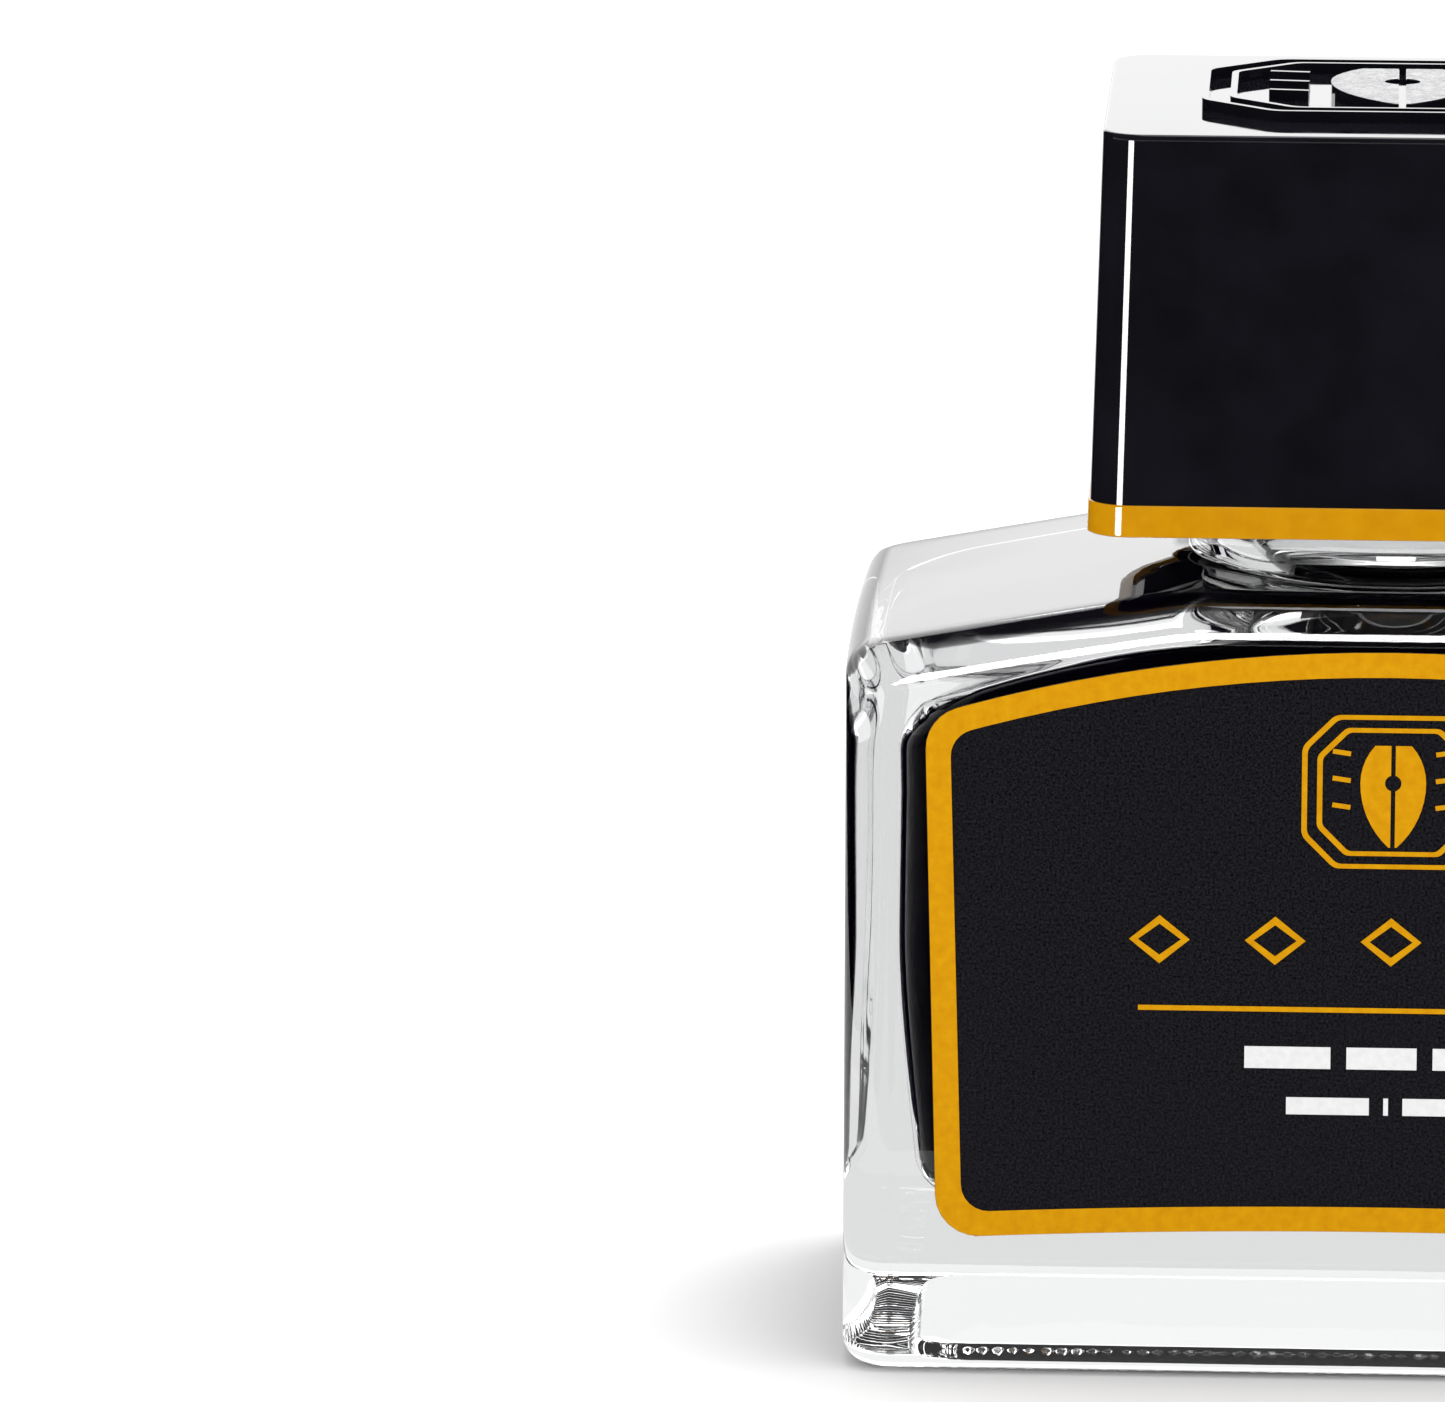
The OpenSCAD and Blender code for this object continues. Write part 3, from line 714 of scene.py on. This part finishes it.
def glowing_wall(name, low_glow, high_glow, low_z, high_z):
    """A glow that grows with height."""
    material = plain_material(name, (0, 0, 0), 0.0)
    tree = material.node_tree
    place = tree.nodes.new("ShaderNodeTexCoord").outputs["Object"]
    split = tree.nodes.new("ShaderNodeSeparateXYZ")
    tree.links.new(place, split.inputs[0])
    grow = tree.nodes.new("ShaderNodeMapRange")
    tree.links.new(split.outputs["Z"], grow.inputs["Value"])
    limits = {"From Min": low_z, "From Max": high_z, "To Min": low_glow, "To Max": high_glow}
    for key, value in limits.items():
        grow.inputs[key].default_value = value
    shader = tree.nodes["Principled BSDF"]
    tree.links.new(grow.outputs[0], shader.inputs["Emission Strength"])
    return material


def panel(name, corners, material, seen_by):
    """A flat staged panel that only the named kinds of ray see."""
    mesh = bpy.data.meshes.new(name)
    mesh.from_pydata([Vector(c) for c in corners], [], [(0, 1, 2, 3)])
    obj = bpy.data.objects.new(name, mesh)
    scene.collection.objects.link(obj)
    mesh.materials.append(material)
    for kind in ("camera", "diffuse", "glossy", "transmission", "shadow", "volume_scatter"):
        setattr(obj, f"visible_{kind}", kind in seen_by)
    return obj


def upright(azimuth, distance, half_width, low, high):
    """Corners of an upright rectangle that faces the bottle. Azimuth 0 is in front, 90 to the right."""
    a = math.radians(azimuth)
    out = Vector((math.sin(a), -math.cos(a), 0))
    side = Vector((math.cos(a), math.sin(a), 0))
    foot = out * distance
    up = Vector((0, 0, 1))
    return [
        foot - side * half_width + up * low,
        foot + side * half_width + up * low,
        foot + side * half_width + up * high,
        foot - side * half_width + up * high,
    ]


def level(x0, y0, x1, y1, z):
    return [(x0, y0, z), (x1, y0, z), (x1, y1, z), (x0, y1, z)]


floor_material = plain_material("floor_white", (0.86, 0.86, 0.86), 0.0)
# Black for the flags, and for the card of painted shadow under the base.
black = plain_material("flag_and_painted_shadow_black", (0, 0, 0), 0.0)
floor_in_glass = plain_material("floor_in_glass", (0.92, 0.92, 0.92), 0.0)
floor_corners = level(-FLOOR_REACH, -FLOOR_REACH, FLOOR_REACH, FLOOR_REACH, 0)
panel("Floor", floor_corners, floor_material, ("camera", "diffuse", "shadow"))
panel("Floor_in_glass", floor_corners, floor_in_glass, ("glossy", "transmission"))
# A black card under the base, seen only in reflections and through the glass: painted shadow where the
# bottle stands on the floor.
shadow_card_x = BODY_X - BEARING_W
shadow_card_y = BODY_Y - BEARING_W
shadow_card_corners = level(-shadow_card_x, -shadow_card_y, shadow_card_x, shadow_card_y, SHADOW_CARD_Z)
panel("Painted_shadow_under_base", shadow_card_corners, black, ("glossy", "transmission"))
backdrop = glowing_wall("backdrop_glow", 1.08, 2.15, 0.068, 0.09)
for azimuth in range(100, 261, 20):
    corners = upright(azimuth, WALL_AWAY, WALL_HALF_W, 0.0, WALL_HIGH)
    wall = panel(f"Backdrop_{azimuth}", corners, backdrop, ("glossy", "transmission"))
    if abs(azimuth - 180) > SHARED_ARC:
        wall.light_linking.receiver_collection = glass_lit
strip = plain_material("strip_glow", (0, 0, 0), 40.0)
strip_panel = panel("Strip_light", upright(-34, 0.15, 0.0175, 0.0, 0.07), strip, ("glossy",))
strip_panel.light_linking.receiver_collection = cap_lit
back_glow = plain_material("back_glow", (0, 0, 0), 9.0)
back_panel = panel("Back_light", upright(180, 0.24, 0.12, 0.195, 0.22), back_glow, ("glossy",))
back_panel.light_linking.receiver_collection = glass_lit
front_glow = plain_material("front_glow", (0, 0, 0), 24.0)
front_panel = panel("Front_light", upright(0, 1.0, 0.2, 0.2, 0.5), front_glow, ("glossy",))
front_panel.light_linking.receiver_collection = glass_lit
front_flag = level(-FLAG_REACH, -FLAG_REACH, FLAG_REACH, FLAG_FRONT_Y, FLAG_Z)
left_flag = level(-FLAG_REACH, FLAG_FRONT_Y, -0.12, 0.6, FLAG_Z)
panel("Flag_front", front_flag, black, ("glossy",))
panel("Flag_left", left_flag, black, ("glossy",))


def area_light(name, place, target, size, power):
    data = bpy.data.lights.new(name, "AREA")
    data.shape = "RECTANGLE"
    data.size, data.size_y = size
    data.energy = power
    obj = bpy.data.objects.new(name, data)
    scene.collection.objects.link(obj)
    obj.location = place
    obj.rotation_euler = (Vector(target) - Vector(place)).to_track_quat("-Z", "Y").to_euler()
    return obj


area_light("Top_softbox", (0.2, 0.12, 0.9), (0, 0, 0.03), (0.6, 0.6), 6.0)

# The world is bright for diffuse and camera rays, and nearly dark in reflections and in glass.
WORLD_DARK = 0.05
WORLD_BRIGHT = 1.1

world = bpy.data.worlds.new("Studio")
scene.world = world
world.use_nodes = True
world.node_tree.nodes["Background"].inputs["Color"].default_value = (1, 1, 1, 1)
rays = world.node_tree.nodes.new("ShaderNodeLightPath")
level_of = world.node_tree.nodes.new("ShaderNodeMapRange")
level_of.inputs["To Min"].default_value = WORLD_DARK
level_of.inputs["To Max"].default_value = WORLD_BRIGHT
lit_rays = world.node_tree.nodes.new("ShaderNodeMath")
lit_rays.operation = "MAXIMUM"
world.node_tree.links.new(rays.outputs["Is Diffuse Ray"], lit_rays.inputs[0])
world.node_tree.links.new(rays.outputs["Is Camera Ray"], lit_rays.inputs[1])
world.node_tree.links.new(lit_rays.outputs[0], level_of.inputs["Value"])
world.node_tree.links.new(
    level_of.outputs[0], world.node_tree.nodes["Background"].inputs["Strength"]
)

# ---- camera -----------------------------------------------------------------------------------------

CAMERA_AWAY = 798.5 * MM
CAMERA_UP = 203.8 * MM
CAMERA_AZIMUTH = math.radians(-0.056)
CAMERA_YAW = math.radians(3.08)     # how far it looks to the left of the bottle
CAMERA_PITCH = math.radians(11.621)
CAMERA_ROLL = math.radians(0.173)
CAMERA_LENS = 317.45

camera_data = bpy.data.cameras.new("Camera")
camera_data.sensor_width = 36
camera_data.lens = CAMERA_LENS
camera_data.clip_start = 0.01
camera_data.clip_end = 50
camera = bpy.data.objects.new("Camera", camera_data)
scene.collection.objects.link(camera)
place = Vector(
    (
        CAMERA_AWAY * math.sin(CAMERA_AZIMUTH),
        -CAMERA_AWAY * math.cos(CAMERA_AZIMUTH),
        CAMERA_UP,
    )
)
heading = CAMERA_AZIMUTH + CAMERA_YAW
ahead = Vector(
    (
        -math.sin(heading) * math.cos(CAMERA_PITCH),
        math.cos(heading) * math.cos(CAMERA_PITCH),
        -math.sin(CAMERA_PITCH),
    )
)
right = ahead.cross(Vector((0, 0, 1))).normalized()
up = right.cross(ahead)
rolled_right = right * math.cos(CAMERA_ROLL) + up * math.sin(CAMERA_ROLL)
rolled_up = up * math.cos(CAMERA_ROLL) - right * math.sin(CAMERA_ROLL)
camera.matrix_world = Matrix.Translation(place) @ Matrix(
    (rolled_right, rolled_up, -ahead)
).transposed().to_4x4()
scene.camera = camera

scene.view_settings.view_transform = "Standard"
scene.cycles.max_bounces = 24
scene.cycles.transmission_bounces = 20
scene.cycles.glossy_bounces = 12
scene.cycles.transparent_max_bounces = 12
scene.cycles.caustics_refractive = True
scene.cycles.caustics_reflective = False

# ---- bring the scene up to date ---------------------------------------------------------------------

bpy.context.view_layer.update()
